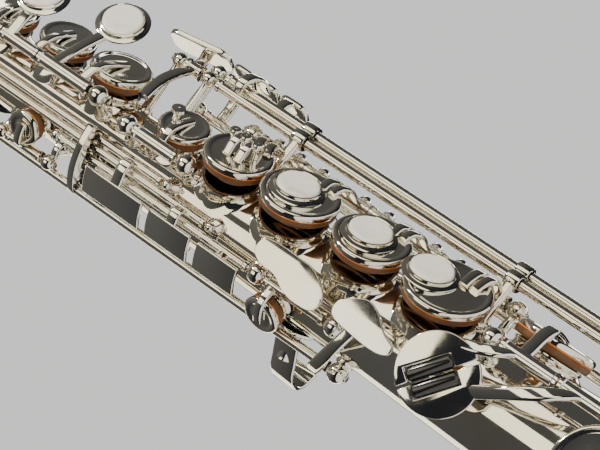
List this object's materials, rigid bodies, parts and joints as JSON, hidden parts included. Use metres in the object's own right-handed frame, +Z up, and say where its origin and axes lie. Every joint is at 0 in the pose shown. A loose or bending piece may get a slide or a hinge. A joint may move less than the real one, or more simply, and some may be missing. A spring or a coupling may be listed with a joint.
{
  "type": "soprano saxophone",
  "caption": "Straight soprano saxophone with a conical silver tube, flared bell, padded hinged keys with pearl touches, rollers and a detachable neck with mouthpiece.",
  "frame": {"origin": "centre of the bell rim, on the plane that the bell stands on", "axes": "+Z up the tube to the mouthpiece; the finger keys face -Y; +X is the player's left"},
  "size_m": [0.095, 0.095, 0.698],
  "materials": {
    "polished_silver": "polished silver plate on brass",
    "steel": "polished steel rod",
    "leather": "smooth tan leather",
    "pearl": "polished pearl shell",
    "ebonite": "polished hard rubber",
    "cork": "matt cork",
    "cane": "matt cane"
  },
  "bodies": {
    "body": {"body_tube": "polished_silver", "bell": "polished_silver", "bell_ring": "polished_silver", "neck": "polished_silver", "neck_socket_ring": "polished_silver", "neck_clamp_screw": "polished_silver", "neck_cork": "cork", "mouthpiece": "ebonite", "reed": "cane", "ligature": "polished_silver", "thumb_hook": "polished_silver", "thumb_rest": "ebonite", "strap_ring": "polished_silver", "side_key_guide": "polished_silver", "lower_stack_rod": "steel", "upper_stack_rod": "steel", "bell_key_guard": "polished_silver"},
    "f_sharp_key": {"f_sharp_key": "polished_silver", "f_sharp_pad": "leather"},
    "f_key": {"f_key": "polished_silver", "f_pearl": "pearl", "f_pad": "leather"},
    "e_key": {"e_key": "polished_silver", "e_pearl": "pearl", "e_pad": "leather"},
    "d_key": {"d_key": "polished_silver", "d_pearl": "pearl", "d_pad": "leather"},
    "g_key": {"g_key": "polished_silver", "g_pearl": "pearl", "g_pad": "leather"},
    "a_key": {"a_key": "polished_silver", "a_pearl": "pearl"},
    "bis_key": {"bis_key": "polished_silver"},
    "b_key": {"b_key": "polished_silver", "b_pearl": "pearl"},
    "c_vent_key": {"c_vent_key": "polished_silver"},
    "g_sharp_key": {"g_sharp_key": "polished_silver"},
    "g_sharp_lever": {"g_sharp_lever": "polished_silver"},
    "low_b_key": {"low_b_key": "polished_silver"},
    "low_b_flat_key": {"low_b_flat_key": "polished_silver"},
    "low_c_sharp_key": {"low_c_sharp_key": "polished_silver"},
    "e_flat_key": {"e_flat_key": "polished_silver"},
    "low_c_key": {"low_c_key": "polished_silver"},
    "f_sharp_trill_key": {"f_sharp_trill_key": "polished_silver"},
    "high_f_sharp_key": {"high_f_sharp_key": "polished_silver"},
    "side_e_key": {"side_e_key": "polished_silver"},
    "side_c_lever": {"side_c_lever": "polished_silver"},
    "side_b_flat_lever": {"side_b_flat_lever": "polished_silver"},
    "side_b_flat_key": {"side_b_flat_key": "polished_silver"},
    "side_c_key": {"side_c_key": "polished_silver"},
    "palm_d_key": {"palm_d_key": "polished_silver"},
    "palm_e_flat_key": {"palm_e_flat_key": "polished_silver"},
    "palm_f_key": {"palm_f_key": "polished_silver"},
    "octave_lever": {"octave_lever": "polished_silver"},
    "octave_key_lower": {"octave_key_lower": "polished_silver"},
    "octave_key_upper": {"octave_key_upper": "polished_silver"},
    "e_flat_roller": {"e_flat_roller": "ebonite"},
    "low_c_roller": {"low_c_roller": "ebonite"}
  },
  "joints": [
    {"name": "f_sharp_key_turn", "type": "hinge", "parent": "body", "child": "f_sharp_key", "pos_m": [0.02295, -0.01325, 0.354], "axis": [0, 0, -1], "range_deg": [0, 8], "stiffness_Nm_per_rad": 0.05, "springref_deg": -17.19},
    {"name": "f_key_turn", "type": "hinge", "parent": "body", "child": "f_key", "pos_m": [0.02295, -0.01325, 0.33], "axis": [0, 0, -1], "range_deg": [0, 8], "stiffness_Nm_per_rad": 0.05, "springref_deg": -17.19},
    {"name": "e_key_turn", "type": "hinge", "parent": "body", "child": "e_key", "pos_m": [0.02295, -0.01325, 0.303], "axis": [0, 0, -1], "range_deg": [0, 8], "stiffness_Nm_per_rad": 0.05, "springref_deg": -17.19},
    {"name": "d_key_turn", "type": "hinge", "parent": "body", "child": "d_key", "pos_m": [0.02295, -0.01325, 0.276], "axis": [0, 0, -1], "range_deg": [0, 8], "stiffness_Nm_per_rad": 0.05, "springref_deg": -17.19},
    {"name": "g_key_turn", "type": "hinge", "parent": "body", "child": "g_key", "pos_m": [-0.00824, -0.02147, 0.418], "axis": [0, 0, 1], "range_deg": [0, 9], "stiffness_Nm_per_rad": 0.05, "springref_deg": -17.19},
    {"name": "a_key_turn", "type": "hinge", "parent": "body", "child": "a_key", "pos_m": [-0.00824, -0.02147, 0.437], "axis": [0, 0, 1], "range_deg": [0, 9], "stiffness_Nm_per_rad": 0.05, "springref_deg": -17.19},
    {"name": "bis_key_turn", "type": "hinge", "parent": "body", "child": "bis_key", "pos_m": [-0.00824, -0.02147, 0.452], "axis": [0, 0, 1], "range_deg": [0, 9], "stiffness_Nm_per_rad": 0.05, "springref_deg": -17.19},
    {"name": "b_key_turn", "type": "hinge", "parent": "body", "child": "b_key", "pos_m": [-0.00824, -0.02147, 0.47], "axis": [0, 0, 1], "range_deg": [0, 9], "stiffness_Nm_per_rad": 0.05, "springref_deg": -17.19},
    {"name": "c_vent_key_turn", "type": "hinge", "parent": "body", "child": "c_vent_key", "pos_m": [-0.00824, -0.02147, 0.49], "axis": [0, 0, 1], "range_deg": [0, 9], "stiffness_Nm_per_rad": 0.05, "springref_deg": -17.19},
    {"name": "g_sharp_key_turn", "type": "hinge", "parent": "body", "child": "g_sharp_key", "pos_m": [-0.01022, -0.02005, 0.377], "axis": [0, 0, -1], "range_deg": [0, 9], "stiffness_Nm_per_rad": 0.05, "springref_deg": -17.19},
    {"name": "g_sharp_lever_turn", "type": "hinge", "parent": "body", "child": "g_sharp_lever", "pos_m": [0.0252, -0.02115, 0.394], "axis": [0, 0, 1], "range_deg": [0, 9], "stiffness_Nm_per_rad": 0.05, "springref_deg": -17.19},
    {"name": "low_b_key_turn", "type": "hinge", "parent": "body", "child": "low_b_key", "pos_m": [0.0252, -0.02115, 0.134], "axis": [0, 0, 1], "range_deg": [0, 9], "stiffness_Nm_per_rad": 0.05, "springref_deg": -17.19},
    {"name": "low_b_flat_key_turn", "type": "hinge", "parent": "body", "child": "low_b_flat_key", "pos_m": [0.03006, -0.02105, 0.093], "axis": [0, 0, 1], "range_deg": [0, 9], "stiffness_Nm_per_rad": 0.05, "springref_deg": -17.19},
    {"name": "low_c_sharp_key_turn", "type": "hinge", "parent": "body", "child": "low_c_sharp_key", "pos_m": [0.02889, -0.00253, 0.167], "axis": [0, 0, -1], "range_deg": [0, 8], "stiffness_Nm_per_rad": 0.05, "springref_deg": -17.19},
    {"name": "e_flat_key_turn", "type": "hinge", "parent": "body", "child": "e_flat_key", "pos_m": [-0.00469, -0.02659, 0.242], "axis": [0, 0, -1], "range_deg": [0, 6], "stiffness_Nm_per_rad": 0.05, "springref_deg": -17.19},
    {"name": "low_c_key_turn", "type": "hinge", "parent": "body", "child": "low_c_key", "pos_m": [-0.00469, -0.02659, 0.203], "axis": [0, 0, -1], "range_deg": [0, 8], "stiffness_Nm_per_rad": 0.05, "springref_deg": -17.19},
    {"name": "f_sharp_trill_key_turn", "type": "hinge", "parent": "body", "child": "f_sharp_trill_key", "pos_m": [-0.01785, -0.0065, 0.316], "axis": [0, 0, 1], "range_deg": [0, 10], "stiffness_Nm_per_rad": 0.05, "springref_deg": -17.19},
    {"name": "high_f_sharp_key_turn", "type": "hinge", "parent": "body", "child": "high_f_sharp_key", "pos_m": [-0.01638, 0.01147, 0.561], "axis": [0, 0, 1], "range_deg": [0, 9], "stiffness_Nm_per_rad": 0.05, "springref_deg": -17.19},
    {"name": "side_e_key_turn", "type": "hinge", "parent": "body", "child": "side_e_key", "pos_m": [-0.01402, -0.01176, 0.536], "axis": [0, 0, -1], "range_deg": [0, 10], "stiffness_Nm_per_rad": 0.05, "springref_deg": -17.19},
    {"name": "side_c_lever_turn", "type": "hinge", "parent": "body", "child": "side_c_lever", "pos_m": [-0.01585, -0.00915, 0.36], "axis": [0, 0, -1], "range_deg": [0, 10], "stiffness_Nm_per_rad": 0.05, "springref_deg": -17.19},
    {"name": "side_b_flat_lever_turn", "type": "hinge", "parent": "body", "child": "side_b_flat_lever", "pos_m": [-0.0174, -0.00566, 0.34], "axis": [0, 0, -1], "range_deg": [0, 10], "stiffness_Nm_per_rad": 0.05, "springref_deg": -17.19},
    {"name": "side_b_flat_key_turn", "type": "hinge", "parent": "body", "child": "side_b_flat_key", "pos_m": [-0.01844, 0.00635, 0.424], "axis": [0, 0, -1], "range_deg": [0, 10], "stiffness_Nm_per_rad": 0.05, "springref_deg": -17.19},
    {"name": "side_c_key_turn", "type": "hinge", "parent": "body", "child": "side_c_key", "pos_m": [-0.01844, 0.00635, 0.478], "axis": [0, 0, -1], "range_deg": [0, 10], "stiffness_Nm_per_rad": 0.05, "springref_deg": -17.19},
    {"name": "palm_d_key_turn", "type": "hinge", "parent": "body", "child": "palm_d_key", "pos_m": [0.01871, -0.0033, 0.498], "axis": [0, 0, 1], "range_deg": [0, 10], "stiffness_Nm_per_rad": 0.05, "springref_deg": -17.19},
    {"name": "palm_e_flat_key_turn", "type": "hinge", "parent": "body", "child": "palm_e_flat_key", "pos_m": [0.01871, -0.0033, 0.52], "axis": [0, 0, 1], "range_deg": [0, 10], "stiffness_Nm_per_rad": 0.05, "springref_deg": -17.19},
    {"name": "palm_f_key_turn", "type": "hinge", "parent": "body", "child": "palm_f_key", "pos_m": [0.01871, -0.0033, 0.543], "axis": [0, 0, 1], "range_deg": [0, 10], "stiffness_Nm_per_rad": 0.05, "springref_deg": -17.19},
    {"name": "octave_lever_turn", "type": "hinge", "parent": "body", "child": "octave_lever", "pos_m": [0.0085, 0.01472, 0.478], "axis": [0, 0, 1], "range_deg": [0, 6], "stiffness_Nm_per_rad": 0.05, "springref_deg": -17.19},
    {"name": "octave_key_lower_turn", "type": "hinge", "parent": "body", "child": "octave_key_lower", "pos_m": [0.0085, 0.01472, 0.514], "axis": [0, 0, -1], "range_deg": [0, 6], "stiffness_Nm_per_rad": 0.05, "springref_deg": -17.19},
    {"name": "octave_key_upper_turn", "type": "hinge", "parent": "body", "child": "octave_key_upper", "pos_m": [0.0085, 0.01472, 0.57], "axis": [0, 0, -1], "range_deg": [0, 6], "stiffness_Nm_per_rad": 0.05, "springref_deg": -17.19},
    {"name": "e_flat_roller_spin", "type": "hinge", "parent": "e_flat_key", "child": "e_flat_roller", "pos_m": [-0.02016, -0.01836, 0.26118], "axis": [0.5562, -0.5358, -0.6353], "continuous": true},
    {"name": "low_c_roller_spin", "type": "hinge", "parent": "low_c_key", "child": "low_c_roller", "pos_m": [-0.02143, -0.01527, 0.25746], "axis": [0.5562, -0.5358, -0.6353], "continuous": true}
  ],
  "couplings": [
    {"joint": "f_sharp_key_turn", "follows": "f_key_turn", "ratio": 1},
    {"joint": "c_vent_key_turn", "follows": "a_key_turn", "ratio": 1},
    {"joint": "g_sharp_key_turn", "follows": "g_sharp_lever_turn", "ratio": 1},
    {"joint": "octave_key_upper_turn", "follows": "octave_lever_turn", "ratio": 1},
    {"joint": "side_c_key_turn", "follows": "side_c_lever_turn", "ratio": 1},
    {"joint": "side_b_flat_key_turn", "follows": "side_b_flat_lever_turn", "ratio": 1}
  ]
}
